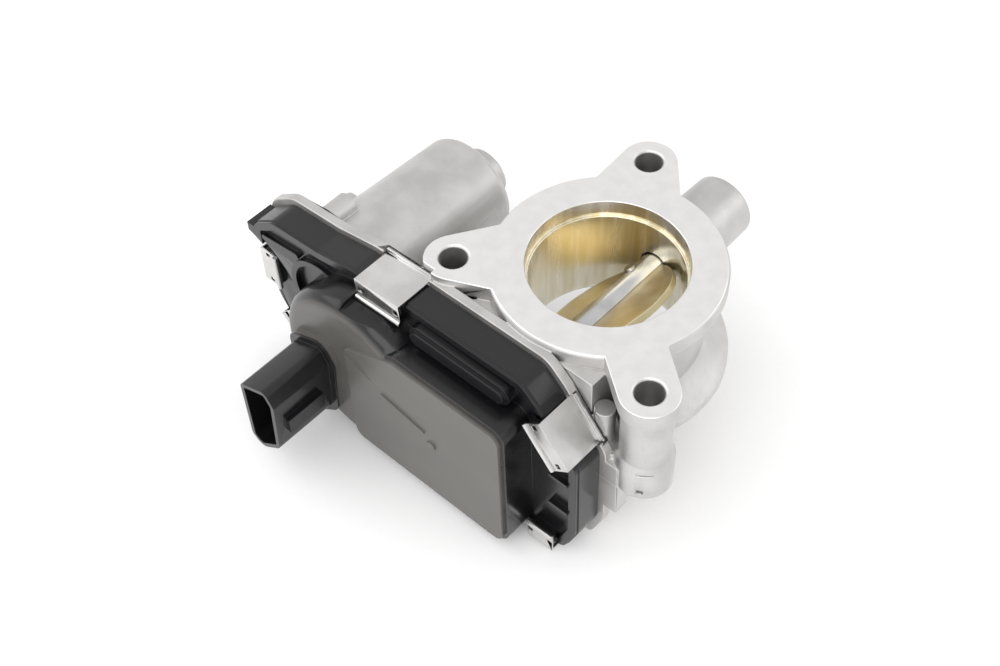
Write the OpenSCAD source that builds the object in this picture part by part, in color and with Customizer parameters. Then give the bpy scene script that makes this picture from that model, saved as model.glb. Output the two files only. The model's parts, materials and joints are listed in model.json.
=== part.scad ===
// Electronic throttle body: a cast housing with a geared motor drive under its cover.
// Origin: the bore's axis at the top flange face. +Z is up along the bore,
// +Y runs along the throttle shaft away from the gear cover.

/* [Bore and flange] */
// Radius of the opening in the flange face
port_r = 20; // [18:0.1:24]
// Depth of the opening down to the throttle bore
port_depth = 4.5; // [3:0.1:6]
// Radius of the throttle bore
bore_r = 19.2; // [17:0.1:20]
// Outer radius of the round flange
flange_r = 29.2; // [27:0.1:34]
// Thickness of the flange
flange_t = 5; // [4:0.1:7]
// Height of the casting from the flange face to the lower face
body_h = 32.5; // [30:0.5:44]
// Outer radius of the barrel round the bore
barrel_r = 24.5; // [23:0.1:27]
// Radius of the lower collar
collar_r = 31; // [27:0.1:34]
// Height of the lower collar's straight edge
collar_h = 3.2; // [2:0.1:6]

/* [Mounting bolts] */
// Radius of the three bolt holes
bolt_r = 3.5; // [2.7:0.1:4.3]
// Radius of each flange ear
ear_r = 7.3; // [6.5:0.1:9]
// Radius of each bolt column under the flange
column_r = 6.3; // [5.5:0.1:7]
// Radius of each column's foot
foot_r = 7.2; // [6.5:0.1:8]
// Height of each column's foot
foot_h = 9.5; // [3:0.1:12]

/* [Shaft and plate] */
// Depth of the shaft's axis below the flange face
shaft_depth = 18; // [17.5:0.1:18.5]
// Radius of the throttle shaft
shaft_r = 4; // [3.2:0.1:4.4]
// Thickness of the throttle plate
plate_t = 1.8; // [1.2:0.1:2.4]
// Gap between the plate's rim and the bore
plate_gap = 0.2; // [0.15:0.05:0.4]
// Angle of the plate above the horizontal at rest
plate_angle = 40; // [30:1:50]
// Turn from rest down to the closed stop
close_turn = 34; // [20:1:34]
// Turn from rest up to the open stop
open_turn = 50; // [40:1:50]
// Outer radius of the shaft's bearings
bearing_r = 6.5; // [6:0.1:7]
// Radius of the far bearing boss
far_boss_r = 8.8; // [8:0.1:10]
// Distance from the bore's axis to the far boss's end
far_boss_end = 48.5; // [40:0.5:56]

/* [Gear case] */
// Distance from the bore's axis to the joint between casting and cover
joint_y = 31; // [30.5:0.1:34]
// Distance from the bore's axis to the case floor
floor_y = 28.8; // [28.3:0.1:29.3]
// Thickness of the case floor
floor_t = 2.2; // [2:0.1:4]
// Depth of the spring's well below the case floor
well_depth = 3.8; // [3.4:0.1:4.2]
// Wall of the case and of the cover's skirt
case_wall = 2; // [1.6:0.1:2.4]
// How far the casting's rim stands out past the cover
rim_step = 1.8; // [1:0.1:3]
// Depth of the casting's rim
rim_depth = 2.6; // [2.2:0.1:3.4]

/* [Cover] */
// Depth of the cover's skirt
skirt_depth = 8.3; // [7:0.1:10]
// Thickness of the cover's skin
skin_t = 1.8; // [1.2:0.1:2]
// Depth of the channel behind the cover's rim
channel_depth = 1; // [0.5:0.1:1.4]
// Height of the plateau and of the dome above the channel
plateau_h = 10.6; // [8:0.1:14]
// Radius of the dome over the large gear
dome_r = 25.4; // [24.5:0.1:25.8]
// Length of the connector past the plateau
connector_len = 20.5; // [14:0.5:26]
// Wall of the connector's shroud
shroud_wall = 1.3; // [1:0.1:1.8]

/* [Gears] */
// Module of the sector's stage and of the middle stage
coarse_module = 1; // [1:0.01:1.02]
// Module of the motor's stage
fine_module = 0.8; // [0.78:0.01:0.81]
// Thinning of every tooth at its pitch circle, for running play
tooth_play = 0.13; // [0.08:0.01:0.2]
// Width of the teeth
tooth_w = 4; // [3:0.1:4.2]
// Radius of the idler gears' axles
axle_r = 2; // [1.5:0.1:2.4]

/* [Motor] */
// Outer radius of the motor's can
can_r = 13.6; // [13:0.1:14.2]
// Length of the motor's can
can_len = 36.8; // [30:0.1:40]
// Wall of the cast motor housing
motor_wall = 1.9; // [1.5:0.1:3]

/* [Clips] */
// Thickness of the clip strip
clip_t = 0.6; // [0.4:0.1:0.8]
// Width of the wide clips
clip_w = 15; // [10:0.5:16]
// Length of a clip's front leg
clip_leg = 5.4; // [4.5:0.1:7]

/* [Hidden] */

eps = 0.01;
running_gap = 0.03;
seat_gap = 0.02;
round_fn = 72;

bolts = [[-13.9, 33], [-29.2, -22.9], [31.8, -23.8]];
ear_roots = [[-5, 11], [-12, -8], [17, -12.7]];
ear_root_r = [15, 13.5, 7.6];

// Corners of the gear case in the XZ plane, anticlockwise, and their radii
case_corners = [
  [20, -60], [24, -50], [24, -23], [12, -8.3], [7, -3.5], [-30, -4], [-48, -4.8],
  [-61, -7.3], [-78, -8.5], [-86, -14], [-88.5, -24], [-88.5, -48], [-77, -60]
];
case_radii = [4, 8, 4, 5, 4, 8, 8, 8, 6, 6, 14, 18, 14];
// Corners of the deeper part of the case, behind the rim
deep_corners = [
  [20, -60], [24, -50], [24, -24], [13, -10.5], [5, -5], [-28, -5.6], [-44, -11], [-76, -13],
  [-82, -20], [-82, -46], [-72, -60]
];
deep_radii = [4, 8, 4, 5, 4, 8, 8, 6, 12, 16, 12];
plateau_corners = [[9, -59.4], [9, -13.5], [-27, -13.5], [-45, -22], [-45, -59.4]];
plateau_radii = [4, 4, 5, 4, 4];
plateau_wall = 1.5;

shaft_z = -shaft_depth;
shaft_at = [0, shaft_z];
front_y = joint_y + skirt_depth;
skin_out_y = front_y - channel_depth;
skin_in_y = skin_out_y - skin_t;
plateau_y = skin_out_y + plateau_h;

// Gear train: the sector is turned by the small idler, which the large idler turns
sector_teeth = 44;
small_pinion_teeth = 14;
small_wheel_teeth = 26;
large_pinion_teeth = 30;
large_wheel_teeth = 46;
motor_pinion_teeth = 12;
cut_teeth = 12;
pressure_angle = 25;
tip_part = 0.8;
root_part = 1.1;
sector_dir = 233;
mesh_dir = 241;
train_dir = 170;
motor_dir = 144;
small_at = shaft_at + polar(coarse_module * (sector_teeth + small_pinion_teeth) / 2, mesh_dir);
large_at = small_at + polar(coarse_module * (small_wheel_teeth + large_pinion_teeth) / 2, train_dir);
motor_at = large_at + polar(fine_module * (large_wheel_teeth + motor_pinion_teeth) / 2, motor_dir);
sector_pitch = 360 / sector_teeth;
sector_phase = sector_dir + sector_pitch / 2;
small_pinion_phase = mate_phase(sector_phase, sector_teeth, mesh_dir, small_pinion_teeth);
small_wheel_phase = small_pinion_phase;
large_pinion_phase = mate_phase(small_wheel_phase, small_wheel_teeth, train_dir, large_pinion_teeth);
large_wheel_phase = large_pinion_phase;
motor_phase = mate_phase(large_wheel_phase, large_wheel_teeth, motor_dir, motor_pinion_teeth);
sector_half = (cut_teeth - 1) / 2 * sector_pitch + 2.9;

// Layers of the gears, as distances from the bore's axis
layer_gap = 1;
wheel_w = 3.6;
sector_y = floor_y + 1.2;
large_wheel_y = sector_y;
top_layer_y = sector_y + tooth_w + layer_gap;
top_layer_end = top_layer_y + tooth_w;
axle_end_y = top_layer_end + 3.5;
hub_r = 7.5;
boss_r = bearing_r + 1.5;
well_y = floor_y - well_depth;
boss_end_y = sector_y - 0.6;
well_r = boss_r + 4.6;
board_t = 0.8;
board_y = skin_in_y - seat_gap - board_t;
hub_end_y = board_y - 0.68;

// Stub boss beside the motor, at the rim
stub_at = [-68.3, -9.6];
stub_end_y = 21;
stub_r = 3.5;

// Motor
can_front_y = floor_y - 2;
can_back_y = can_len - can_front_y;
motor_shaft_r = 1.2;
motor_case_r = can_r + 0.3 + motor_wall;
motor_case_end = can_back_y + 6.4;
motor_taper = 0.9;
nub_r = 7.4;
nub_end = motor_case_end + 6;
motor_screw_dirs = [172, 246];
motor_screw_pcr = can_r + 2.8;

// Connector
socket_corners = [[-58, -56], [-50.3, -50], [-49, -32], [-51.5, -27.3], [-61.5, -31.5], [-61.5, -53]];
socket_radii = [3, 3, 1.6, 2, 2, 2.6];
base_margin = 2;
socket_mouth_y = plateau_y + connector_len;
base_top_y = plateau_y + 1.6;
socket_floor_y = plateau_y + 4;
pin_count = 6;
pin_pitch = 3.4;
pin_mid = [-55.6, -41.5];

// Hollow that the cover's left end leaves for the wiring
scoop_at = [-97, -43];
scoop_r = 26;
scoop_y = joint_y + 3.6;

// Clips: middle point on the cover's edge, outward direction, width and the cover's front there
top_clip = [[-37.5, -4.25], 92.5, clip_w, front_y];
corner_clip = [[18.1, -15.8], 39.2, clip_w - 1, front_y];
bottom_clip = [[14, -60], 270, 8, front_y];
lower_left_clip = [[-82.2, -54.7], 223.8, 8, scoop_y];
left_clip = [[-88.5, -34], 180, clip_w - 3, scoop_y];
clips = [top_clip, corner_clip, bottom_clip, lower_left_clip, left_clip];

function polar(r, a) = [r * cos(a), r * sin(a)];
function unit(v) = v / norm(v);
function turned_right(v) = [v[1], -v[0]];

// A closed outline moved outwards by d
function shifted(pts, d) = [
  for (i = [0 : len(pts) - 1])
    let (
      b = pts[i],
      n1 = turned_right(unit(b - pts[(i + len(pts) - 1) % len(pts)])),
      n2 = turned_right(unit(pts[(i + 1) % len(pts)] - b))
    )
    b + (n1 + n2) * d / (1 + n1 * n2)
];

// Points of the arc that rounds the corner b between a and c
function corner_arc(a, b, c, r, steps) =
  let (
    u = unit(a - b),
    v = unit(c - b),
    half = acos(max(-1, min(1, u * v))) / 2,
    mid = b + unit(u + v) * r / sin(half),
    start = b + u * r / tan(half) - mid,
    stop = b + v * r / tan(half) - mid,
    from = atan2(start[1], start[0]),
    turn = (atan2(stop[1], stop[0]) - from + 540) % 360 - 180
  )
  [for (k = [0 : steps]) mid + polar(r, from + turn * k / steps)];

function rounded(pts, radii, steps = 5) = [
  for (i = [0 : len(pts) - 1])
    each corner_arc(pts[(i + len(pts) - 1) % len(pts)], pts[i], pts[(i + 1) % len(pts)], radii[i], steps)
];

// The case's outline moved outwards by d, with its corners round
function case_outline(d) = rounded(shifted(case_corners, d), [for (r = case_radii) max(0.4, r + d)]);
function deep_outline(d) = rounded(shifted(deep_corners, d), [for (r = deep_radii) max(0.4, r + d)]);
function inset_outline(corners, radii, d) = rounded(shifted(corners, -d), [for (r = radii) max(0.4, r - d)]);

// The outline round two circles joined by their tangents
function link_outline(p, r, q, s) =
  let (
    a = atan2(p[1] - q[1], p[0] - q[0]),
    b = acos((s - r) / norm(p - q))
  )
  concat(
    [for (k = [0 : 16]) p + polar(r, a - b + 2 * b * k / 16)],
    [for (k = [0 : 24]) q + polar(s, a + b + (360 - 2 * b) * k / 24)]
  );

function involute(base, r) = r <= base ? 0 : sqrt(r * r / base / base - 1) * 180 / PI - acos(base / r);
function mate_phase(phase, teeth, dir, mate_teeth) =
  dir + 180 + 180 / mate_teeth - (phase - dir) * teeth / mate_teeth;

// Points of one tooth at angle c
function tooth_points(m, n, c) =
  let (
    pitch = m * n / 2,
    base = pitch * cos(pressure_angle),
    root = pitch - root_part * m,
    tip = pitch + tip_part * m,
    foot = max(base, root),
    half = 90 / n - tooth_play / 2 / pitch * 180 / PI + involute(base, pitch),
    flank = [for (k = [0 : 3]) foot + (tip - foot) * k / 3],
    radii = root < base ? concat([root], flank) : flank
  )
  concat(
    [for (k = [0 : len(radii) - 1]) polar(radii[k], c - half + involute(base, radii[k]))],
    [for (k = [len(radii) - 1 : -1 : 0]) polar(radii[k], c + half - involute(base, radii[k]))]
  );

// Draws a flat shape of the XZ plane from y = -far to y = -near
module slab(near, far) {
  translate([0, -near, 0])
    rotate([90, 0, 0])
      linear_extrude(far - near)
        children();
}

// A round bar along Y at a point of the XZ plane
module bar(at, r, near, far) {
  translate([at[0], -near, at[1]])
    rotate([90, 0, 0])
      cylinder(r = r, h = far - near, $fn = round_fn);
}

// A solid of revolution about a Y axis, drawn as radius and distance from the bore's axis
module turned(at) {
  translate([at[0], 0, at[1]])
    rotate([90, 0, 0])
      rotate_extrude($fn = round_fn)
        children();
}

module gear_teeth(m, n, phase, near, far) {
  slab(near, far)
    polygon([for (k = [0 : n - 1]) each tooth_points(m, n, phase + k * 360 / n)]);
}

module at_plane(at) {
  translate([at[0], 0, at[1]])
    children();
}

// Places a clip's own axes: X along the edge, Z outwards, at the cover's edge
module at_clip(c) {
  translate([c[0][0], 0, c[0][1]])
    rotate([0, 90 - c[1], 0])
      children();
}

module barrel_profile() {
  polygon(concat(
    [[bore_r, 0], [flange_r - 0.6, 0], [flange_r, -0.6], [flange_r, -flange_t + 0.8]],
    [[flange_r - 1, -flange_t]],
    [for (k = [0 : 6]) [barrel_r + 3, -flange_t - 3] + [-3 * sin(k * 15), 3 * cos(k * 15)]],
    [for (k = [0 : 6]) [barrel_r + 5, -body_h + collar_h + 2] + [-5 * cos(k * 12), 5 * sin(k * 12 + 90) - 1]],
    [[collar_r, -body_h + collar_h], [collar_r, -body_h + 0.8], [collar_r - 0.8, -body_h], [bore_r, -body_h]]
  ));
}

module throttle_housing() {
  color([0.78, 0.78, 0.77])
    difference() {
      union() {
        rotate_extrude($fn = 96)
          barrel_profile();
        for (i = [0 : 2])
          translate([0, 0, -flange_t])
            linear_extrude(flange_t)
              polygon(link_outline(bolts[i], ear_r, ear_roots[i], ear_root_r[i]));
        for (p = bolts)
          translate([p[0], p[1], -body_h])
            cylinder(r = column_r, h = body_h - 1, $fn = 48);
        for (p = bolts)
          translate([p[0], p[1], -body_h])
            cylinder(r = foot_r, h = foot_h, $fn = 48);
        for (p = bolts)
          translate([p[0], p[1], -body_h + foot_h])
            cylinder(r1 = foot_r, r2 = column_r, h = 1.5, $fn = 48);
        column_webs();
        case_body();
        motor_case();
        far_boss();
        side_details();
      }
      housing_cuts();
    }
}

// Webs between the bolt columns and the barrel
module column_webs() {
  for (i = [0 : 2])
    let (a = atan2(bolts[i][1], bolts[i][0]))
      rotate([0, 0, a])
        translate([bore_r + 2, -3.2, -body_h + 1.5])
          cube([norm(bolts[i]) - bore_r - 5, 6.4, body_h - 4]);
}

module case_body() {
  difference() {
    slab(joint_y - rim_depth, joint_y)
      polygon(case_outline(rim_step));
    translate([-100, -joint_y - 1, -70])
      cube([150, rim_depth + 2, 10]);
  }
  slab(floor_y - floor_t, joint_y - rim_depth + 0.5)
    polygon(deep_outline(0));
  translate([-27, -floor_y + 0.5, -body_h + 1])
    cube([46, floor_y - 9, body_h - 5.5]);
  for (x = [-58, -40, -5, 12])
    translate([x, -floor_y + 1, -57])
      cube([1.8, 5, 18]);
}

module motor_case() {
  turned(motor_at)
    polygon(concat(
      [[0, floor_y - 1], [motor_case_r + 0.6, floor_y - 1]],
      [for (k = [0 : 6])
        [motor_case_r - motor_taper - 3 + 3 * cos(k * 15), -motor_case_end + 3 - 3 * sin(k * 15)]],
      [[nub_r, -motor_case_end]],
      [for (k = [0 : 4]) [nub_r - 1.5 + 1.5 * cos(k * 22.5), -nub_end + 1.5 - 1.5 * sin(k * 22.5)]],
      [[0, -nub_end]]
    ));
  for (a = motor_screw_dirs)
    bar(motor_at + polar(motor_screw_pcr, a), 4, 12, floor_y - 0.5);
  translate([-46, -floor_y + 1, -28])
    cube([26, 23, 6]);
  translate([-48, -14, -27])
    cube([30, 16, 4]);
}

module far_boss() {
  turned(shaft_at)
    polygon([
      [0, -bore_r - 1], [far_boss_r + 1.4, -bore_r - 1], [far_boss_r + 0.4, -bore_r - 8],
      [far_boss_r, -far_boss_end + 0.8], [far_boss_r - 0.8, -far_boss_end], [0, -far_boss_end]
    ]);
}

// Bosses, ribs and lugs on the outside of the casting
module side_details() {
  bar(stub_at, stub_r, stub_end_y, joint_y - 1);
  translate([-20.6, -24.8, -body_h + 6])
    cylinder(r = 4, h = body_h - 14, $fn = 48);
  translate([24.6, -joint_y, -44])
    cube([4.8, 4.5, 18.5]);
  translate([19, -26, -46])
    cube([6, 6, 16]);
  translate([-88, -joint_y, -18.6])
    cube([6, 4.5, 3]);
  translate([21.6, -26.6, -26])
    cylinder(r = 2.6, h = 14, $fn = 36);
  translate([25, -26.4, -body_h])
    cylinder(r = 3, h = 9, $fn = 36);
  for (a = [60, 150])
    rotate([0, 0, a])
      translate([barrel_r - 1.5, -1.2, -body_h + 2])
        cube([4.5, 2.4, body_h - 6]);
}

module housing_cuts() {
  translate([0, 0, -port_depth])
    cylinder(r = port_r, h = port_depth + 1, $fn = 96);
  translate([0, 0, -body_h - 1])
    cylinder(r = bore_r, h = body_h + 2, $fn = 96);
  translate([0, 0, -body_h - eps])
    cylinder(r1 = bore_r + 1.2, r2 = bore_r, h = 3, $fn = 96);
  for (p = bolts) {
    translate([p[0], p[1], -body_h - 40])
      cylinder(r = bolt_r, h = body_h + 41, $fn = 48);
    translate([p[0], p[1], -0.5])
      cylinder(r1 = bolt_r, r2 = bolt_r + 0.6, h = 0.51, $fn = 48);
  }
  difference() {
    union() {
      slab(sector_y - 0.4, joint_y + 2)
        polygon(case_outline(-case_wall));
      slab(floor_y, joint_y)
        polygon(deep_outline(-case_wall));
    }
    bar(shaft_at, boss_r, floor_y - 1, boss_end_y);
    for (p = [small_at, large_at])
      bar(p, axle_r + 2, floor_y - 1, floor_y + 0.5);
  }
  difference() {
    bar(shaft_at, well_r, well_y, floor_y + 0.5);
    bar(shaft_at, boss_r, well_y - 1, boss_end_y);
  }
  bar(shaft_at, bearing_r + seat_gap, bore_r + 1.8, boss_end_y + 1);
  bar(shaft_at, shaft_r + 0.3, 0, boss_end_y + 1);
  bar(shaft_at, shaft_r + 0.3, -34, 0);
  bar(shaft_at, bearing_r + seat_gap, -far_boss_end - 1, -bore_r - 1.8);
  for (p = [small_at, large_at])
    bar(p, axle_r + seat_gap, floor_y - floor_t + 0.8, floor_y + 2);
  bar(motor_at, can_r + 0.3, -can_back_y - 0.4, floor_y + 1);
  bar(motor_at, 4.3, -can_back_y - 3.2, floor_y);
  for (a = motor_screw_dirs)
    bar(motor_at + polar(motor_screw_pcr, a), 1.3, 15, floor_y + 1);
  for (a = stop_angles)
    bar(shaft_at + polar(stop_r, a), stop_pin_r + seat_gap, floor_y - floor_t + 0.6, floor_y + 2);
  bar(stub_at, 1.8, stub_end_y - 1, stub_end_y + 5);
  translate([bolts[2][0], bolts[2][1], -body_h + 2.6])
    rotate([0, 90, -60])
      translate([0, 0, foot_r - 1.2])
        cylinder(r = 0.8, h = 3, $fn = 24);
  translate([bolts[2][0], bolts[2][1], -body_h + foot_h - 0.5])
    rotate([0, 0, -52])
      translate([foot_r - 0.7, -2, 0])
        cube([2, 4, 0.5]);
  translate([-20.6, -24.8, -12.5])
    cylinder(r = 2.3, h = 8, $fn = 36);
  for (c = clips)
    at_clip(c)
      translate([-c[2] / 2 - 0.3, -joint_y - 1, 0.2])
        cube([c[2] + 0.6, rim_depth - 0.4 + 1, 4]);
}

module end_plug() {
  color([0.72, 0.72, 0.72])
    turned(shaft_at)
      polygon([
        [0, -far_boss_end + 1.2], [bearing_r - 1.5, -far_boss_end + 1.2], [bearing_r - 0.8, -far_boss_end + 0.4],
        [bearing_r, -far_boss_end + 0.4], [bearing_r, -far_boss_end + 4], [0, -far_boss_end + 4]
      ]);
}

module bearing(near, far) {
  difference() {
    bar(shaft_at, bearing_r, near, far);
    bar(shaft_at, shaft_r + running_gap, near - 1, far + 1);
    for (side = [[near - 1, near + 0.3], [far - 0.3, far + 1]])
      difference() {
        bar(shaft_at, bearing_r - 0.8, side[0], side[1]);
        bar(shaft_at, shaft_r + 0.7, side[0] - 1, side[1] + 1);
      }
  }
}

module gear_side_bearing() {
  color([0.65, 0.66, 0.68])
    bearing(bore_r + 4.1, boss_end_y - 0.4);
}

module far_bearing() {
  color([0.65, 0.66, 0.68])
    bearing(-bore_r - 13, -bore_r - 4.2);
}

module shaft_seals() {
  color([0.12, 0.12, 0.12])
    for (s = [[bore_r + 1.9, bore_r + 4], [-bore_r - 4, -bore_r - 1.9]])
      difference() {
        bar(shaft_at, bearing_r, s[0], s[1]);
        bar(shaft_at, shaft_r + running_gap, s[0] - 1, s[1] + 1);
      }
}

// Turns a shape about the shaft's axis so that its X lies along the plate
module at_plate() {
  translate([0, 0, shaft_z])
    rotate([0, -plate_angle, 0])
      children();
}

plate_r = bore_r - plate_gap;
screw_ys = [-12.4, 12.4];
plate_screw_r = 1.5;

module throttle_shaft() {
  color([0.75, 0.75, 0.76])
    difference() {
      union() {
        bar(shaft_at, shaft_r, -bore_r - 13.5, hub_end_y - 2);
        bar(shaft_at, shaft_r - 0.6, -bore_r - 14.3, -bore_r - 13);
      }
      at_plate()
        translate([-shaft_r - 1, -plate_r - 0.1, -plate_t / 2 - 0.03])
          cube([2 * shaft_r + 2, 2 * plate_r + 0.2, plate_t + 0.06]);
      at_plate()
        for (y = screw_ys)
          translate([0, y, -shaft_r - 1])
            cylinder(r = plate_screw_r + 0.05, h = 2 * shaft_r + 2, $fn = 36);
      at_plate()
        for (y = screw_ys)
          translate([0, y, -shaft_r - 1])
            cylinder(r = 2.8, h = 2, $fn = 36);
    }
}

module throttle_plate() {
  color([0.8, 0.68, 0.35])
    at_plate()
      difference() {
        translate([0, 0, -plate_t / 2])
          cylinder(r = plate_r, h = plate_t, $fn = 96);
        for (y = screw_ys)
          translate([0, y, -plate_t])
            cylinder(r = plate_screw_r + 0.05, h = 2 * plate_t, $fn = 36);
      }
}

module plate_screws() {
  color([0.7, 0.7, 0.72])
    at_plate()
      for (y = screw_ys)
        translate([0, y, 0])
          difference() {
            union() {
              translate([0, 0, -shaft_r + 1])
                cylinder(r = plate_screw_r, h = 2 * shaft_r - 0.4, $fn = 36);
              translate([0, 0, -shaft_r - 0.5])
                cylinder(r = 2.6, h = 1.5, $fn = 36);
            }
            translate([-1.8, -0.3, -shaft_r - 1])
              cube([3.6, 0.6, 1.2]);
            translate([-0.3, -1.8, -shaft_r - 1])
              cube([0.6, 3.6, 1.2]);
          }
}

module sector_gear() {
  color([0.86, 0.84, 0.78])
    difference() {
      union() {
        at_plane(shaft_at)
          slab(sector_y, sector_y + tooth_w)
            polygon(concat(
              [[0, 0]],
              [for (k = [0 : cut_teeth - 1])
                each tooth_points(coarse_module, sector_teeth, sector_phase + (k - cut_teeth / 2) * sector_pitch)]
            ));
        bar(shaft_at, hub_r, sector_y - 0.3, hub_end_y);
      }
      bar(shaft_at, shaft_r + seat_gap, sector_y - 1, hub_end_y + 1);
      bar(shaft_at, magnet_r + 0.1, hub_end_y - 1.9, hub_end_y + 1);
      for (a = [-28, 0, 28])
        bar(shaft_at + polar(13.6, sector_dir + a), 2.7, sector_y - 1, sector_y + tooth_w + 1);
    }
}

magnet_r = 5.6;

module sensor_magnet() {
  color([0.2, 0.2, 0.22])
    difference() {
      bar(shaft_at, magnet_r, hub_end_y - 1.8, hub_end_y - 0.2);
      bar(shaft_at, 2, hub_end_y - 3, hub_end_y + 1);
    }
}

spring_wire_r = 0.6;
spring_r = boss_r + 0.8 + 0.3 + spring_wire_r;
spring_turns = 2.5;
spring_rings = 60;
spring_sides = 8;
spring_near = well_y + 0.9;
spring_pitch = (sector_y - 0.75 - spring_near) / spring_turns;

function spring_point(i, j) =
  let (
    a = 360 * spring_turns * i / spring_rings,
    b = 360 * j / spring_sides,
    r = spring_r + spring_wire_r * cos(b)
  )
  [r * cos(a), -spring_near - spring_pitch * a / 360 - spring_wire_r * sin(b), r * sin(a)];

module return_spring() {
  color([0.55, 0.56, 0.58])
    at_plane(shaft_at)
      polyhedron(
        points = [for (i = [0 : spring_rings]) for (j = [0 : spring_sides - 1]) spring_point(i, j)],
        faces = concat(
          [[for (j = [0 : spring_sides - 1]) j]],
          [[for (j = [spring_sides - 1 : -1 : 0]) spring_rings * spring_sides + j]],
          [for (i = [0 : spring_rings - 1]) for (j = [0 : spring_sides - 1])
            let (k = (j + 1) % spring_sides)
              [i * spring_sides + j, (i + 1) * spring_sides + j, (i + 1) * spring_sides + k, i * spring_sides + k]]
        )
      );
}

module spring_sleeve() {
  color([0.9, 0.88, 0.8])
    difference() {
      bar(shaft_at, boss_r + 0.8, well_y + 0.02, boss_end_y);
      bar(shaft_at, boss_r + seat_gap, well_y - 1, boss_end_y + 1);
    }
}

stop_pin_r = 1.5;
stop_r = 16;
stop_margin = asin(stop_pin_r / stop_r) + 0.8;
stop_angles = [
  sector_dir - close_turn - sector_half - stop_margin,
  sector_dir + open_turn + sector_half + stop_margin
];

module stop_pins() {
  color([0.6, 0.6, 0.62])
    for (a = stop_angles)
      bar(shaft_at + polar(stop_r, a), stop_pin_r, floor_y - floor_t + 0.8, sector_y + tooth_w);
}

module idler_gear_small() {
  color([0.9, 0.88, 0.82])
    difference() {
      union() {
        at_plane(small_at) {
          gear_teeth(coarse_module, small_pinion_teeth, small_pinion_phase, sector_y - 0.4, top_layer_y + 0.5);
          gear_teeth(coarse_module, small_wheel_teeth, small_wheel_phase, top_layer_y, top_layer_end);
        }
        bar(small_at, 4.5, floor_y + 0.8, top_layer_end + 0.6);
      }
      bar(small_at, axle_r + running_gap, floor_y, top_layer_end + 2);
      for (a = [0 : 60 : 300])
        bar(small_at + polar(8.3, a), 1.9, sector_y - 1, top_layer_end + 1);
    }
}

module idler_axle_small() {
  color([0.62, 0.62, 0.64])
    bar(small_at, axle_r, floor_y - floor_t + 0.9, axle_end_y);
}

module idler_gear_large() {
  color([0.9, 0.88, 0.82])
    difference() {
      union() {
        at_plane(large_at) {
          gear_teeth(fine_module, large_wheel_teeth, large_wheel_phase, large_wheel_y, large_wheel_y + wheel_w);
          gear_teeth(coarse_module, large_pinion_teeth, large_pinion_phase, top_layer_y, top_layer_end);
        }
        bar(large_at, 6, floor_y + 0.8, top_layer_end + 0.6);
      }
      bar(large_at, axle_r + running_gap, floor_y, top_layer_end + 2);
      for (a = [0 : 60 : 300]) {
        bar(large_at + polar(10, a), 2.6, top_layer_y - 1, top_layer_end + 1);
        bar(large_at + polar(13.2, a), 4, large_wheel_y - 1, large_wheel_y + wheel_w + 1);
      }
    }
}

module idler_axle_large() {
  color([0.62, 0.62, 0.64])
    bar(large_at, axle_r, floor_y - floor_t + 0.9, axle_end_y);
}

module motor_can() {
  color([0.6, 0.6, 0.6])
    difference() {
      union() {
        bar(motor_at, can_r, -can_back_y, can_front_y);
        bar(motor_at, 4, -can_back_y - 2.8, -can_back_y + 1);
      }
      bar(motor_at, can_r - 1, -can_back_y + 1, can_front_y + 1);
      bar(motor_at, 2.8 + seat_gap, -can_back_y - 2, -can_back_y + 2);
      bar(motor_at, motor_shaft_r + 0.4, -can_back_y - 4, 0);
    }
}

module motor_magnets() {
  color([0.3, 0.3, 0.32])
    difference() {
      bar(motor_at, can_r - 1 - seat_gap, -can_back_y + 4, can_front_y - 6);
      bar(motor_at, can_r - 4, -can_back_y + 3, can_front_y - 5);
      at_plane(motor_at)
        translate([-3, -can_front_y, -20])
          cube([6, 50, 40]);
    }
}

module motor_end_plate() {
  color([0.2, 0.2, 0.2])
    difference() {
      union() {
        bar(motor_at, can_r - 0.2, can_front_y + 0.02, floor_y + 0.1);
        slab(floor_y + 0.02, floor_y + 0.6)
          polygon(link_outline(motor_at + polar(motor_screw_pcr, motor_screw_dirs[0]), 3, motor_at, 9));
        slab(floor_y + 0.02, floor_y + 0.6)
          polygon(link_outline(motor_at + polar(motor_screw_pcr, motor_screw_dirs[1]), 3, motor_at, 9));
      }
      bar(motor_at, motor_shaft_r + running_gap, can_front_y - 1, floor_y + 2);
      for (a = motor_screw_dirs)
        bar(motor_at + polar(motor_screw_pcr, a), 1.4, floor_y - 3, floor_y + 2);
      for (k = [0 : 1])
        at_terminal(k)
          translate([-terminal_w / 2 - seat_gap, -floor_y - 1, -terminal_t / 2 - seat_gap])
            cube([terminal_w + 2 * seat_gap, 4, terminal_t + 2 * seat_gap]);
    }
}

module motor_screws() {
  color([0.7, 0.7, 0.72])
    for (a = motor_screw_dirs)
      let (p = motor_at + polar(motor_screw_pcr, a))
        difference() {
          union() {
            bar(p, 1.25, 16, floor_y + 1);
            bar(p, 2.4, floor_y + 0.62, floor_y + 2.1);
          }
          at_plane(p)
            translate([-1.6, -floor_y - 3, -0.3])
              cube([3.2, 1.6, 0.6]);
        }
}

module motor_rear_bush() {
  color([0.72, 0.5, 0.25])
    difference() {
      bar(motor_at, 2.8, -can_back_y - 1.8, -can_back_y + 1.6);
      bar(motor_at, motor_shaft_r + running_gap, -can_back_y - 3, -can_back_y + 3);
    }
}

module motor_armature() {
  color([0.5, 0.35, 0.2])
    difference() {
      bar(motor_at, can_r - 4.6, -can_back_y + 5, can_front_y - 8);
      bar(motor_at, motor_shaft_r + seat_gap, -can_back_y + 3, can_front_y - 5);
      for (a = [0 : 72 : 288])
        at_plane(motor_at)
          rotate([0, a, 0])
            translate([can_r - 7.6, -can_front_y, -0.8])
              cube([6, 50, 1.6]);
    }
}

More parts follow.
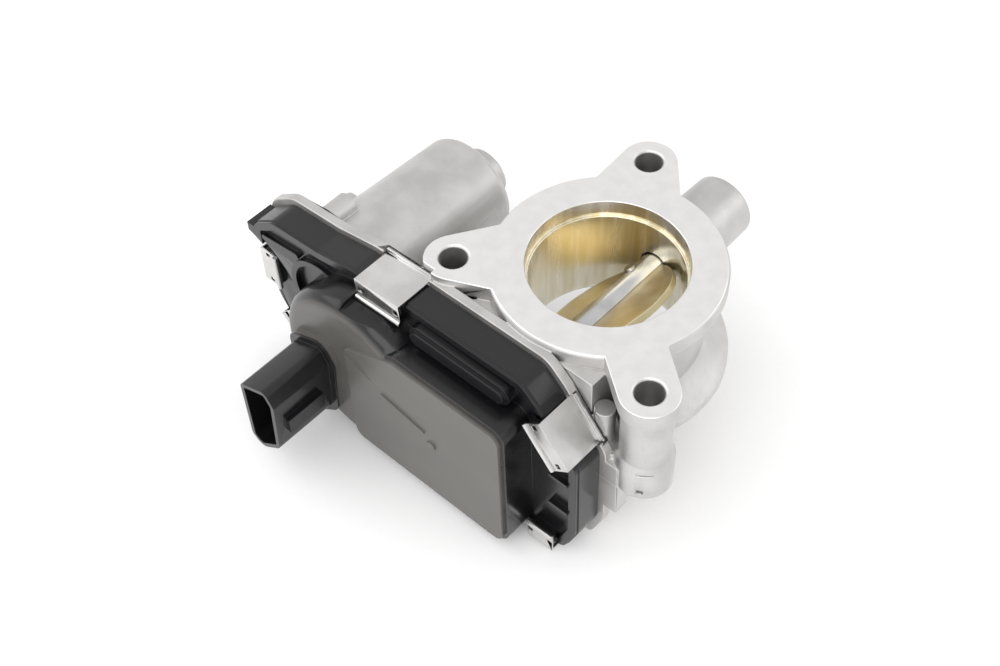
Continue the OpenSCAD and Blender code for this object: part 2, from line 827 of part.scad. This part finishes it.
module motor_shaft() {
  color([0.7, 0.7, 0.72])
    bar(motor_at, motor_shaft_r, -can_back_y - 1.2, large_wheel_y + wheel_w + 1);
}

module motor_pinion() {
  color([0.75, 0.6, 0.3])
    difference() {
      at_plane(motor_at)
        gear_teeth(fine_module, motor_pinion_teeth, motor_phase, large_wheel_y - 0.2, large_wheel_y + wheel_w + 0.4);
      bar(motor_at, motor_shaft_r + seat_gap, floor_y, large_wheel_y + wheel_w + 2);
    }
}

module cover() {
  color([0.1, 0.1, 0.11])
    difference() {
      union() {
        cover_shell();
        cover_plateau();
        cover_ribs();
        connector_body();
      }
      difference() {
        slab(joint_y - 1, skin_in_y)
          polygon(case_outline(-case_wall));
        bar(scoop_at, scoop_r + skin_t, scoop_y - skin_t, front_y);
      }
      difference() {
        bar(scoop_at, scoop_r, scoop_y, front_y + 4);
        clip_pads([left_clip, lower_left_clip]);
      }
      clip_notches();
      slab(joint_y, plateau_y - skin_t)
        polygon(inset_outline(plateau_corners, plateau_radii, plateau_wall));
      bar(dome_at, dome_r - case_wall, joint_y, plateau_y - skin_t - 1);
      slab(joint_y - 1, joint_y + 1)
        difference() {
          polygon(case_outline(-0.5));
          polygon(case_outline(-1.5));
        }
      slab(socket_floor_y, socket_mouth_y + 1)
        polygon(inset_outline(socket_corners, socket_radii, shroud_wall));
      for (k = [0 : pin_count - 1])
        at_pin(k)
          translate([-pin_w / 2 - seat_gap, -socket_floor_y - 1, -pin_t / 2 - seat_gap])
            cube([pin_w + 2 * seat_gap, socket_floor_y - plateau_y + 5, pin_t + 2 * seat_gap]);
      for (k = [0 : 1])
        at_terminal(k)
          translate([-terminal_w / 2 - seat_gap, -skin_in_y - 1.02, -terminal_t / 2 - seat_gap])
            cube([terminal_w + 2 * seat_gap, 3, terminal_t + 2 * seat_gap]);
    }
  color([0.1, 0.1, 0.11])
    axle_sockets();
}

dome_at = [-43, -34.4];

// Raised pads under the clips' front legs
module clip_pads(set) {
  for (c = set)
    at_clip(c)
      translate([-c[2] / 2 + 0.4, -c[3] - 1, -clip_leg + 0.6])
        cube([c[2] - 0.8, 2.4, clip_leg - 0.9]);
}

// Room for the front legs of the clips beside the plateau and the dome
module clip_notches() {
  for (c = [top_clip, corner_clip, bottom_clip])
    at_clip(c)
      translate([-c[2] / 2 - 0.4, -plateau_y - 1, -clip_leg - 0.7])
        cube([c[2] + 0.8, plateau_y - front_y - 0.05, clip_leg + 4]);
}

module cover_shell() {
  slab(joint_y, skin_out_y)
    polygon(case_outline(0));
  slab(skin_out_y - 1, front_y)
    difference() {
      polygon(case_outline(-0.3));
      polygon(case_outline(-2.6));
    }
  clip_pads(clips);
}

module cover_plateau() {
  slab(skin_out_y - 1, plateau_y - 1.2)
    polygon(rounded(plateau_corners, plateau_radii));
  slab(plateau_y - 1.5, plateau_y)
    polygon(inset_outline(plateau_corners, plateau_radii, 1));
  turned(dome_at)
    polygon(concat(
      [[0, skin_out_y - 1], [dome_r, skin_out_y - 1]],
      [for (k = [0 : 6]) [dome_r - 4 + 4 * cos(k * 15), plateau_y - 4.6 + 4 * sin(k * 15)]],
      [[0, plateau_y - 0.6]]
    ));
}

// Raised ribs, rings and pads moulded on the cover's front
module cover_ribs() {
  slab(skin_out_y - 1, skin_out_y + 3)
    polygon(link_outline([-24, -9.6], 3, [2, -9.6], 3));
  slab(skin_out_y + 2, skin_out_y + 4)
    polygon(link_outline([-24, -9.6], 2, [2, -9.6], 2));
  bar([-14.7, -37.2], 1.4, plateau_y - 1, plateau_y + 0.5);
  slab(plateau_y - 1, plateau_y + 0.5)
    polygon(link_outline([-31, -30.5], 0.35, [-17, -33.5], 0.35));
  difference() {
    bar(motor_at, 12.2, skin_out_y - 1, skin_out_y + 1.6);
    bar(motor_at, 10.4, skin_out_y - 2, skin_out_y + 5);
    translate([motor_at[0] - 20, -skin_out_y - 6, motor_at[1] - 40])
      cube([40, 12, 36]);
  }
  slab(skin_out_y - 1, skin_out_y + 1.2)
    polygon(link_outline([-82, -17], 1, [-70, -15.5], 1));
  translate([-88.6, -front_y, -22.5])
    cube([5, skirt_depth, 7]);
  for (z = [-31, -43])
    translate([15.5, -skin_out_y - 1.6, z])
      cube([6, 2.4, 1.1]);
}

module connector_body() {
  slab(plateau_y - 2.6, base_top_y)
    polygon(inset_outline(socket_corners, socket_radii, -base_margin));
  slab(plateau_y, socket_mouth_y)
    polygon(rounded(socket_corners, socket_radii));
  translate([-64, -socket_mouth_y + 4, -47])
    cube([3, 14, 6]);
  translate([-50.5, -socket_mouth_y + 3, -44])
    cube([2.6, 12, 5]);
}

// Bosses inside the cover that take the free ends of the axles
module axle_sockets() {
  for (p = [small_at, large_at])
    difference() {
      bar(p, axle_r + 2, axle_end_y - 2.4, plateau_y - skin_t + 0.4);
      bar(p, axle_r + seat_gap, axle_end_y - 3, axle_end_y + 0.3);
    }
}

module cover_gasket() {
  color([0.05, 0.05, 0.05])
    slab(joint_y + 0.02, joint_y + 0.98)
      difference() {
        polygon(case_outline(-0.55));
        polygon(case_outline(-1.45));
      }
}

module sensor_board() {
  color([0.1, 0.4, 0.2])
    translate([-8.5, -board_y - board_t, shaft_z - 9])
      cube([17, board_t, 12]);
}

pin_w = 1.5;
pin_t = 0.64;

module at_pin(k) {
  at_plane(pin_mid + [0, (k - (pin_count - 1) / 2) * pin_pitch])
    children();
}

module connector_pins() {
  color([0.8, 0.7, 0.4])
    for (k = [0 : pin_count - 1])
      at_pin(k)
        translate([-pin_w / 2, -socket_mouth_y + 7, -pin_t / 2])
          cube([pin_w, socket_mouth_y - 7 - plateau_y + 3, pin_t]);
}

terminal_w = 3;
terminal_t = 0.7;

module at_terminal(k) {
  at_plane(motor_at + [-6, k == 0 ? -5 : 5])
    children();
}

module motor_terminals() {
  color([0.8, 0.7, 0.4])
    for (k = [0 : 1])
      at_terminal(k)
        translate([-terminal_w / 2, -skin_in_y - 1, -terminal_t / 2])
          cube([terminal_w, skin_in_y + 1 - can_front_y - 0.5, terminal_t]);
}

// A folded clip: top strip, front leg with two windows and a rolled end, and a hook
module clip(c) {
  front = c[3] + 1.5 + clip_t;
  color([0.82, 0.83, 0.84])
    at_clip(c)
      difference() {
        union() {
          translate([-c[2] / 2, -front, 0.25])
            cube([c[2], front - joint_y + rim_depth - 0.8, clip_t]);
          translate([-c[2] / 2, -front, 0.25 - clip_leg])
            cube([c[2], clip_t, clip_leg + clip_t]);
          translate([-c[2] / 2, -front, 0.25 - clip_leg])
            rotate([0, 90, 0])
              cylinder(r = 0.75, h = c[2], $fn = 24);
          translate([-c[2] / 2, -joint_y + rim_depth - 1.4, 0.25])
            cube([c[2], clip_t, 1.7]);
        }
        for (s = [-1, 1])
          translate([s * c[2] * 0.4 - 0.7, -front - 2, -clip_leg / 2 - 0.2])
            cube([1.4, 4, 1.4]);
      }
}

module clip_top() {
  clip(top_clip);
}

module clip_corner() {
  clip(corner_clip);
}

module clip_bottom() {
  clip(bottom_clip);
}

module clip_lower_left() {
  clip(lower_left_clip);
}

module clip_left() {
  clip(left_clip);
}

throttle_housing();
end_plug();
gear_side_bearing();
far_bearing();
shaft_seals();
throttle_shaft();
throttle_plate();
plate_screws();
sector_gear();
sensor_magnet();
return_spring();
spring_sleeve();
stop_pins();
idler_gear_small();
idler_axle_small();
idler_gear_large();
idler_axle_large();
motor_can();
motor_magnets();
motor_end_plate();
motor_screws();
motor_rear_bush();
motor_armature();
motor_shaft();
motor_pinion();
cover();
cover_gasket();
sensor_board();
connector_pins();
motor_terminals();
clip_top();
clip_corner();
clip_bottom();
clip_lower_left();
clip_left();
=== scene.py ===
# Throttle body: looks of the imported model. Lengths are in metres unless a name says otherwise.
import json
import math

import bmesh
import bpy
from mathutils import Matrix, Vector


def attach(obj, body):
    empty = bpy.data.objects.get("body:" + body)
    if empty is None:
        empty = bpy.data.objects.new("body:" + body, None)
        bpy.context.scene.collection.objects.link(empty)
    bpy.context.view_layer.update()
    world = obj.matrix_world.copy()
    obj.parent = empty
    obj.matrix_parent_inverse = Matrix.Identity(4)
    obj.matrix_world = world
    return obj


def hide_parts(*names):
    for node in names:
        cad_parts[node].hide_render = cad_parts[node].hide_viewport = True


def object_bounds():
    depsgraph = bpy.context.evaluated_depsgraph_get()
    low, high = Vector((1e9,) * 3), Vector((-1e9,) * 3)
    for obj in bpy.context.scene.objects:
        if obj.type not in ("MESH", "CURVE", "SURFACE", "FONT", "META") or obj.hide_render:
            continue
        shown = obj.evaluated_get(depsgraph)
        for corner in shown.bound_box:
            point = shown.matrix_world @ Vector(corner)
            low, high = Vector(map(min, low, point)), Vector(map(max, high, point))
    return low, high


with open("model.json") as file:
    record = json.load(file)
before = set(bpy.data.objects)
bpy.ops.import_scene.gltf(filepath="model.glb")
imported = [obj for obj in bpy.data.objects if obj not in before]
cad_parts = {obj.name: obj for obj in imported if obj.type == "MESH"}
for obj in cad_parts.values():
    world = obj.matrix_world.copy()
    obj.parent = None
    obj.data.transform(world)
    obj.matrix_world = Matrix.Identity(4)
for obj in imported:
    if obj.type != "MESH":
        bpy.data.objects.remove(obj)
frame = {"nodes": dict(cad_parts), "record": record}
cad_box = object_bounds()

MM = 0.001
BODIES = frame["record"]["behaviour"]["bodies"]
SLOTS = {part["node"]: part["material_slot"] for part in frame["record"]["subparts"]}
PORT_R = 20 * MM
PORT_DEPTH = 4.5 * MM
LOWER_FACE_Z = -32.5 * MM
COVER_FRONT_Y = -48.9 * MM
PLATE_REST_ANGLE = math.radians(40)


# Shader maths

class Signal:
    """A number that varies over a surface. Arithmetic on it adds Math nodes."""

    def __init__(self, finish, socket):
        self.finish = finish
        self.socket = socket

    def maths(self, operation, first, second):
        return self.finish.value("ShaderNodeMath", {"operation": operation}, {0: first, 1: second})

    def __add__(self, other):
        return self.maths("ADD", self, other)

    def __radd__(self, other):
        return self.maths("ADD", other, self)

    def __sub__(self, other):
        return self.maths("SUBTRACT", self, other)

    def __rsub__(self, other):
        return self.maths("SUBTRACT", other, self)

    def __mul__(self, other):
        return self.maths("MULTIPLY", self, other)

    def __rmul__(self, other):
        return self.maths("MULTIPLY", other, self)

    def __pow__(self, other):
        return self.maths("POWER", self, other)

    def sine(self):
        return self.maths("SINE", self, 0.0)

    def step(self, low, high):
        """0 below low, 1 above high and a soft ramp between. low may be the greater one."""
        settings = {"interpolation_type": "SMOOTHSTEP", "clamp": True}
        inputs = {"Value": self, "From Min": low, "From Max": high, "To Min": 0.0, "To Max": 1.0}
        return self.finish.value("ShaderNodeMapRange", settings, inputs)


class Finish:
    """A procedural material with one surface shader."""

    def __init__(self, name, roughness, metallic=0.0, **uniform):
        self.material = bpy.data.materials.new(name)
        self.material.use_nodes = True
        self.tree = self.material.node_tree
        self.tree.nodes.clear()
        self.shader = self.node("ShaderNodeBsdfPrincipled")
        output = self.node("ShaderNodeOutputMaterial")
        self.tree.links.new(self.shader.outputs[0], output.inputs["Surface"])
        self.feed("Metallic", metallic)
        self.feed("Roughness", roughness)
        for socket, value in uniform.items():
            self.feed(socket.replace("_", " "), value)
        self.place = self.node("ShaderNodeTexCoord").outputs["Object"]
        split = self.node("ShaderNodeSeparateXYZ", {}, {0: self.place})
        self.x, self.y, self.z = (Signal(self, out) for out in split.outputs)

    def node(self, kind, settings=None, inputs=None):
        made = self.tree.nodes.new(kind)
        for name, value in (settings or {}).items():
            setattr(made, name, value)
        for name, value in (inputs or {}).items():
            self.join(made.inputs[name], value)
        return made

    def join(self, socket, value):
        if isinstance(value, Signal):
            value = value.socket
        if isinstance(value, bpy.types.NodeSocket):
            self.tree.links.new(value, socket)
        else:
            socket.default_value = value

    def value(self, kind, settings, inputs):
        return Signal(self, self.node(kind, settings, inputs).outputs[0])

    def feed(self, socket, value):
        self.join(self.shader.inputs[socket], value)

    def distance(self, across, along):
        return (across * across + along * along) ** 0.5

    def stretched(self, size):
        return self.node("ShaderNodeMapping", {}, {"Vector": self.place, "Scale": size}).outputs[0]

    def grain(self, size, detail=3.0, stretch=(1.0, 1.0, 1.0)):
        """Noise between 0 and 1 whose blotches are about size across."""
        inputs = {"Vector": self.stretched(stretch), "Scale": 1.0 / size, "Detail": detail}
        return self.value("ShaderNodeTexNoise", {}, inputs)

    def specks(self, size):
        """Distance to the nearest of many scattered points, size apart."""
        return self.value("ShaderNodeTexVoronoi", {}, {"Vector": self.place, "Scale": 1.0 / size})

    def blend(self, factor, first, second):
        """A colour between two colours."""
        mix = self.node("ShaderNodeMix", {"data_type": "RGBA"}, {0: factor, 6: first, 7: second})
        return mix.outputs[2]

    def relief(self, height, depth, strength=1.0):
        """Bumps of the given depth where height goes from 0 to 1."""
        inputs = {"Height": height, "Distance": depth, "Strength": strength}
        self.feed("Normal", self.node("ShaderNodeBump", {}, inputs).outputs[0])


def grey(level, warmth=0.0):
    return (level * (1 + warmth), level, level * (1 - warmth), 1.0)


def die_cast_finish():
    """Blasted die casting with a milled flange face and a coated bore."""
    look = Finish("die_cast", 0.4, 1.0)
    radius = look.distance(look.x, look.y)
    in_bore = radius.step(PORT_R + 0.15 * MM, PORT_R + 0.05 * MM)
    in_bore = in_bore * look.z.step(-0.05 * MM, -0.4 * MM)
    in_bore = in_bore * look.z.step(LOWER_FACE_Z - 0.5 * MM, LOWER_FACE_Z + 0.3 * MM)
    coated = in_bore * look.z.step(-1 * MM, -PORT_DEPTH)
    milled = look.z.step(-0.25 * MM, -0.1 * MM)
    above_lower = look.z.step(LOWER_FACE_Z + 0.2 * MM, LOWER_FACE_Z + 0.05 * MM)
    below_lower = look.z.step(LOWER_FACE_Z - 0.2 * MM, LOWER_FACE_Z - 0.05 * MM)
    milled = milled + above_lower * below_lower
    patches = look.grain(9 * MM, 4.0)
    fine = look.grain(0.35 * MM, 2.0)
    pits = look.specks(0.9 * MM).step(0.16, 0.1)
    cast = look.blend(patches.step(0.3, 0.7), grey(0.52, 0.022), grey(0.61, 0.018))
    cast = look.blend(pits * 0.35, cast, grey(0.32, 0.02))
    flat = look.blend(look.grain(4 * MM).step(0.3, 0.7), grey(0.80, 0.014), grey(0.85, 0.012))
    streaks = look.grain(2.4 * MM, 3.0, (1.0, 1.0, 0.12))
    gold = look.blend(streaks.step(0.3, 0.7), (0.72, 0.64, 0.45, 1.0), (0.86, 0.81, 0.67, 1.0))
    plain = look.blend(streaks.step(0.3, 0.7), grey(0.66, 0.05), grey(0.76, 0.04))
    colour = look.blend(milled, cast, flat)
    colour = look.blend(in_bore, colour, plain)
    look.feed("Base Color", look.blend(coated, colour, gold))
    rough = 0.44 + patches * 0.1 - milled * 0.13
    look.feed("Roughness", rough * (1 - in_bore) + in_bore * (0.2 + streaks * 0.12))
    cutter = (radius * (2 * math.pi / (0.32 * MM))).sine() * 0.5 + 0.5
    as_cast = (1 - milled) * (1 - in_bore)
    height = fine * as_cast + cutter * milled * 0.12 - pits * 0.5 * as_cast
    look.relief(height, 0.05 * MM, 0.6)
    return look.material


def plastic_finish(name, dark, pale, gloss, texture):
    """Moulded plastic with a fine grain and faint flow marks."""
    look = Finish(name, gloss, 0.0, Specular_IOR_Level=0.5)
    flow = look.grain(14 * MM, 3.0, (0.5, 1.0, 1.6))
    fine = look.grain(0.22 * MM, 2.0)
    look.feed("Base Color", look.blend(flow.step(0.3, 0.7), dark, pale))
    look.feed("Roughness", gloss + (flow - 0.5) * 0.12 + (fine - 0.5) * 0.08)
    look.relief(fine, texture, 0.5)
    return look.material


def cover_finish():
    """Black glass-filled nylon: smooth and dark, with painted light on the forward face: a thin
    band there gets a greyer satin base colour, standing in for the light that falls on that face.
    """
    look = Finish("cover_plastic", 0.35, 0.0, Specular_IOR_Level=0.5)
    # Mask for painted light: a band about 2 mm deep at the cover's forward face, where the lit
    # look is painted into the colour.
    painted_light_front = look.y.step(COVER_FRONT_Y + 1.9 * MM, COVER_FRONT_Y + 0.2 * MM)
    painted_light_front = painted_light_front * look.y.step(COVER_FRONT_Y - 1.4 * MM, COVER_FRONT_Y - 0.6 * MM)
    flow = look.grain(16 * MM, 3.0, (0.5, 1.0, 1.6))
    fine = look.grain(0.25 * MM, 2.0)
    specks = look.specks(1.3 * MM).step(0.07, 0.03)
    # Painted light: in the forward-face band the base goes from near black to grey, standing in
    # for light falling on that face; the lighter flow marks and specks are drawn only in this
    # painted band.
    base = look.blend(painted_light_front, (0.006, 0.006, 0.007, 1.0), (0.105, 0.10, 0.092, 1.0))
    base = look.blend(flow.step(0.35, 0.7) * painted_light_front * 0.3, base, (0.15, 0.142, 0.13, 1.0))
    look.feed("Base Color", look.blend(specks * 0.35 * painted_light_front, base, (0.2, 0.19, 0.18, 1.0)))
    look.feed("Roughness", 0.24 + painted_light_front * 0.14 + (flow - 0.5) * 0.12 + (fine - 0.5) * 0.06)
    look.relief(fine, 0.018 * MM, 0.5)
    return look.material


def metal_finish(name, dull, bright, rough, direction=(1.0, 1.0, 1.0), depth=0.01):
    """Drawn or ground metal with fine lines along one direction and faint stains."""
    look = Finish(name, rough, 1.0)
    lines = look.grain(0.3 * MM, 3.0, direction)
    stains = look.grain(7 * MM, 4.0)
    look.feed("Base Color", look.blend(stains.step(0.3, 0.7), dull, bright))
    look.feed("Roughness", rough + (lines - 0.5) * 0.16 + (stains - 0.5) * 0.08)
    look.relief(lines, depth * MM, 0.5)
    return look.material


def brass_plate_finish():
    """Turned brass disc: fine rings about the bore's axis, worn lighter at the rim."""
    look = Finish("plate_brass", 0.3, 1.0)
    radius = look.distance(look.x * (1 / math.cos(PLATE_REST_ANGLE)), look.y)
    rings = (radius * (2 * math.pi / (0.35 * MM))).sine() * 0.5 + 0.5
    stains = look.grain(6 * MM, 4.0)
    base = look.blend(stains.step(0.3, 0.7), (0.74, 0.62, 0.38, 1.0), (0.84, 0.74, 0.52, 1.0))
    rim = radius.step(17.6 * MM, 18.8 * MM)
    look.feed("Base Color", look.blend(rim, base, (0.76, 0.71, 0.53, 1.0)))
    look.feed("Roughness", 0.26 + stains * 0.12 + rings * 0.05)
    look.relief(rings, 0.006 * MM, 0.5)
    return look.material


ALONG_Y = (1.0, 0.06, 1.0)
ALONG_X = (0.05, 1.0, 1.0)
WOUND = (1.0, 0.05, 1.0)
NATURAL_NYLON = ((0.66, 0.63, 0.54, 1.0), (0.74, 0.71, 0.62, 1.0))
BOARD_GREEN = ((0.01, 0.10, 0.035, 1.0), (0.015, 0.15, 0.05, 1.0))
CONTACT_BRASS = ((0.72, 0.55, 0.28, 1.0), (0.84, 0.70, 0.40, 1.0))
COPPER = ((0.55, 0.24, 0.12, 1.0), (0.72, 0.36, 0.2, 1.0))

FINISHES = {
    "die_cast": die_cast_finish(),
    "steel": metal_finish("ground_steel", grey(0.48), grey(0.60), 0.24, ALONG_Y),
    "stainless": metal_finish("stainless", grey(0.60, 0.015), grey(0.70, 0.012), 0.22, ALONG_X),
    "plate_brass": brass_plate_finish(),
    "seal_rubber": plastic_finish("seal_rubber", grey(0.012), grey(0.022), 0.6, 0.04 * MM),
    "cover_plastic": cover_finish(),
    "gear_plastic": plastic_finish("gear_plastic", *NATURAL_NYLON, 0.42, 0.02 * MM),
    "dark_plastic": plastic_finish("dark_plastic", grey(0.015), grey(0.028), 0.45, 0.02 * MM),
    "board_green": plastic_finish("board_green", *BOARD_GREEN, 0.3, 0.01 * MM),
    "contact_brass": metal_finish("contact_brass", *CONTACT_BRASS, 0.25),
    "magnet_dark": plastic_finish("magnet_dark", grey(0.04), grey(0.075), 0.5, 0.03 * MM),
    "copper_winding": metal_finish("copper_winding", *COPPER, 0.35, WOUND),
}


# Pieces

WELD = 0.002 * MM
FLAT = math.radians(0.6)
HARD_EDGE = math.radians(32)


def body_of(node):
    return next(body for body, nodes in BODIES.items() if node in nodes)


def dressed(piece, node):
    """Puts a piece on its node's body, with its node's finish."""
    piece.data.materials.clear()
    piece.data.materials.append(FINISHES[SLOTS[node]])
    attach(piece, body_of(node))
    return piece


def eased(node, width):
    """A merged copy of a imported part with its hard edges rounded."""
    mesh = bpy.data.meshes.new(node + "_eased")
    work = bmesh.new()
    work.from_mesh(frame["nodes"][node].data)
    bmesh.ops.remove_doubles(work, verts=work.verts, dist=WELD)
    bmesh.ops.dissolve_limit(work, angle_limit=FLAT, verts=work.verts, edges=work.edges)
    work.to_mesh(mesh)
    work.free()
    mesh.shade_smooth()
    mesh.set_sharp_from_angle(angle=HARD_EDGE)
    piece = bpy.data.objects.new(node + "_eased", mesh)
    bpy.context.scene.collection.objects.link(piece)
    rounding = piece.modifiers.new("edges", "BEVEL")
    rounding.width = width
    rounding.segments = 2
    rounding.limit_method = "ANGLE"
    rounding.angle_limit = HARD_EDGE
    rounding.harden_normals = True
    rounding.use_clamp_overlap = False
    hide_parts(node)
    return dressed(piece, node)


for node, part in frame["nodes"].items():
    part.data.materials.clear()
    part.data.materials.append(FINISHES[SLOTS[node]])

CLIP_EASE = 0.12 * MM
EASED = {
    "throttle_housing": 0.3 * MM,
    "cover": 0.1 * MM,
    "clip_top": CLIP_EASE,
    "clip_corner": CLIP_EASE,
    "clip_bottom": CLIP_EASE,
    "clip_lower_left": CLIP_EASE,
    "clip_left": CLIP_EASE,
    "throttle_plate": 0.15 * MM,
    "throttle_shaft": 0.12 * MM,
    "plate_screws": 0.08 * MM,
    "end_plug": 0.15 * MM,
}
for node, width in EASED.items():
    eased(node, width)


# Stage

FLOOR_GAP = 0.5 * MM
FLOOR_Z = cad_box[0][2] - FLOOR_GAP
FLOOR_SIZE = 3.0
SKY_STRENGTH = 0.92
CAMERA_AT = Vector((152.26, -194.13, 275.44)) * MM
CAMERA_AZIMUTH = math.radians(44.27)
CAMERA_ELEVATION = math.radians(50.76)
CAMERA_ROLL = math.radians(-2.68)
LENS = 55.63


def make_floor():
    mesh = bpy.data.meshes.new("floor")
    work = bmesh.new()
    bmesh.ops.create_grid(work, x_segments=1, y_segments=1, size=FLOOR_SIZE)
    bmesh.ops.translate(work, vec=(0, 0, FLOOR_Z), verts=work.verts)
    work.to_mesh(mesh)
    work.free()
    floor = bpy.data.objects.new("floor", mesh)
    bpy.context.scene.collection.objects.link(floor)
    paper = Finish("paper", 0.9, 0.0)
    fibres = paper.grain(1.5 * MM, 2.0)
    paper.feed("Base Color", paper.blend(fibres, grey(0.93), grey(0.96)))
    mesh.materials.append(paper.material)


def soft_light(name, at, power, size):
    lamp = bpy.data.lights.new(name, "AREA")
    lamp.energy = power
    lamp.shape = "RECTANGLE"
    lamp.size, lamp.size_y = size
    holder = bpy.data.objects.new(name, lamp)
    holder.location = at
    holder.rotation_euler = (-Vector(at)).to_track_quat("-Z", "Y").to_euler()
    bpy.context.scene.collection.objects.link(holder)


def make_world():
    world = bpy.data.worlds.new("studio")
    world.use_nodes = True
    background = world.node_tree.nodes["Background"]
    background.inputs["Color"].default_value = (1.0, 1.0, 1.0, 1.0)
    background.inputs["Strength"].default_value = SKY_STRENGTH
    bpy.context.scene.world = world


def make_camera():
    lens = bpy.data.cameras.new("camera")
    lens.lens = LENS
    lens.sensor_width = 36
    lens.clip_start = 0.01
    camera = bpy.data.objects.new("camera", lens)
    back = Vector((
        math.sin(CAMERA_AZIMUTH) * math.cos(CAMERA_ELEVATION),
        -math.cos(CAMERA_AZIMUTH) * math.cos(CAMERA_ELEVATION),
        math.sin(CAMERA_ELEVATION),
    ))
    level = back.to_track_quat("Z", "Y").to_matrix().to_4x4()
    roll = Matrix.Rotation(CAMERA_ROLL, 4, "Z")
    camera.matrix_world = Matrix.Translation(CAMERA_AT) @ level @ roll
    bpy.context.scene.collection.objects.link(camera)
    bpy.context.scene.camera = camera


make_floor()
make_world()
soft_light("key", (0.3, -0.65, 0.75), 4.5, (1.0, 0.8))
soft_light("fill", (-0.7, -0.45, 0.6), 2.4, (0.8, 0.8))
soft_light("rim", (0.6, 0.7, 0.4), 1.2, (0.8, 0.3))
make_camera()
bpy.context.scene.view_settings.view_transform = "Standard"
